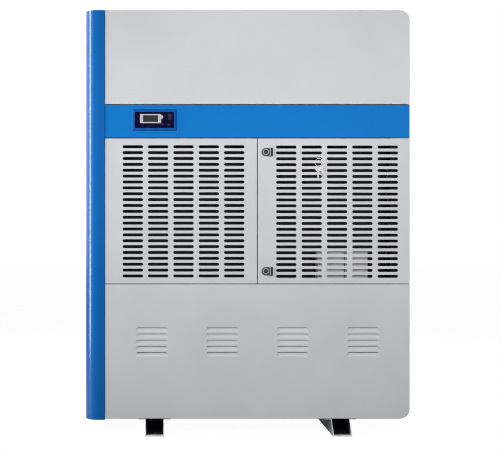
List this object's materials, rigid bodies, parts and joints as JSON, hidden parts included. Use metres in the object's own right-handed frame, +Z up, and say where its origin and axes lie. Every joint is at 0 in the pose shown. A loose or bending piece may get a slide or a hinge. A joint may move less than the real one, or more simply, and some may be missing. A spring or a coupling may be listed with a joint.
{
  "type": "dehumidifier",
  "caption": "Floor-standing commercial dehumidifier: steel cabinet on skid rails, blue corner pillar and control band, slotted grilles, lockable service door, louvred machine bay.",
  "frame": {"origin": "on the floor, under the middle of the cabinet and its rails", "axes": "+X right seen from the front, +Y from the front to the back, +Z up; the front panels and the door face -Y"},
  "size_m": [1.24, 0.56, 1.62],
  "materials": {
    "grey_paint": "satin powder coat",
    "blue_paint": "gloss powder coat",
    "bezel_blue": "moulded, satin",
    "galvanised": "zinc plated sheet",
    "zinc_casting": "cast zinc, satin",
    "nickel": "nickel plated",
    "overlay_film": "printed film",
    "display_silver": "satin",
    "display_glass": "clear over a dark display",
    "key_cap": "moulded",
    "key_dark": "moulded",
    "board_green": "solder mask",
    "filter_mesh": "nylon mesh",
    "aluminium": "mill finish",
    "copper": "bare copper",
    "stainless": "brushed",
    "pvc": "extruded",
    "black_enamel": "enamel",
    "rubber": "moulded",
    "black_nylon": "moulded",
    "box_white": "powder coat",
    "contactor_grey": "moulded",
    "motor_grey": "enamel"
  },
  "bodies": {
    "cabinet": {"foot_rail_left": "galvanised", "foot_rail_right": "galvanised", "rail_bolts": "galvanised", "base_pan": "galvanised", "left_side_panel": "grey_paint", "right_side_panel": "grey_paint", "back_panel_upper": "grey_paint", "back_panel_lower": "grey_paint", "back_panel_screws": "galvanised", "top_panel": "grey_paint", "outlet_grilles": "grey_paint", "corner_pillar": "blue_paint", "pillar_caps": "blue_paint", "front_top_panel": "grey_paint", "control_band": "blue_paint", "grille_panel_left": "grey_paint", "lower_front_panel": "grey_paint", "frame_posts": "black_enamel", "crossmembers": "black_enamel", "centre_post": "black_enamel", "door_hinges": "galvanised", "mid_deck": "galvanised", "fan_deck": "galvanised", "drain_pan": "stainless", "drain_pipe": "pvc", "evaporator_fins": "aluminium", "condenser_fins": "aluminium", "coil_tubes": "copper", "filter_guides": "black_enamel", "filter_frame_left": "black_enamel", "filter_media_left": "filter_mesh", "electrical_box": "box_white", "electrical_covers": "box_white", "contactors": "contactor_grey", "compressor": "black_enamel", "compressor_mounts": "rubber", "accumulator": "black_enamel", "receiver": "black_enamel", "refrigerant_pipes": "copper", "cable_gland": "black_nylon", "control_bezel": "bezel_blue", "control_overlay": "overlay_film", "display_frame": "display_silver", "display_window": "display_glass", "control_board": "board_green", "blower_housings": "galvanised", "fan_motor": "motor_grey"},
    "door": {"service_door": "grey_paint", "lock_bushes": "zinc_casting"},
    "lock_upper": {"lock_knob_upper": "zinc_casting"},
    "lock_lower": {"lock_knob_lower": "zinc_casting"},
    "key_set": {"key_ring": "nickel", "keys": "nickel"},
    "filter_right": {"filter_frame_right": "black_enamel", "filter_media_right": "filter_mesh"},
    "blower": {"blower_rotor": "galvanised"},
    "button_power": {"button_power": "key_cap"},
    "button_mode": {"button_mode": "key_dark"},
    "button_down": {"button_down": "key_dark"},
    "button_up": {"button_up": "key_dark"}
  },
  "joints": [
    {"name": "door_hinge", "type": "hinge", "parent": "cabinet", "child": "door", "pos_m": [0.611, -0.222, 0.852], "axis": [0, 0, 1], "range_deg": [0, 110]},
    {"name": "lock_upper_turn", "type": "hinge", "parent": "door", "child": "lock_upper", "pos_m": [0.0693, -0.23, 1.0775], "axis": [0, 1, 0], "range_deg": [0, 90]},
    {"name": "lock_lower_turn", "type": "hinge", "parent": "door", "child": "lock_lower", "pos_m": [0.0693, -0.23, 0.6225], "axis": [0, 1, 0], "range_deg": [0, 90]},
    {"name": "key_swing", "type": "hinge", "parent": "door", "child": "key_set", "pos_m": [0.271, -0.23694, 1.03774], "axis": [-0.7071, -0.7071, 0], "range_deg": [0, 50]},
    {"name": "filter_lift", "type": "slide", "parent": "cabinet", "child": "filter_right", "axis": [0, 0, 1], "range_m": [0, 0.012]},
    {"name": "blower_spin", "type": "hinge", "parent": "cabinet", "child": "blower", "pos_m": [0, -0.031, 1.306], "axis": [1, 0, 0], "continuous": true},
    {"name": "button_power_press", "type": "slide", "parent": "cabinet", "child": "button_power", "axis": [0, 1, 0], "range_m": [0, 0.001], "stiffness_N_per_m": 1500},
    {"name": "button_mode_press", "type": "slide", "parent": "cabinet", "child": "button_mode", "axis": [0, 1, 0], "range_m": [0, 0.001], "stiffness_N_per_m": 1500},
    {"name": "button_down_press", "type": "slide", "parent": "cabinet", "child": "button_down", "axis": [0, 1, 0], "range_m": [0, 0.001], "stiffness_N_per_m": 1500},
    {"name": "button_up_press", "type": "slide", "parent": "cabinet", "child": "button_up", "axis": [0, 1, 0], "range_m": [0, 0.001], "stiffness_N_per_m": 1500}
  ]
}
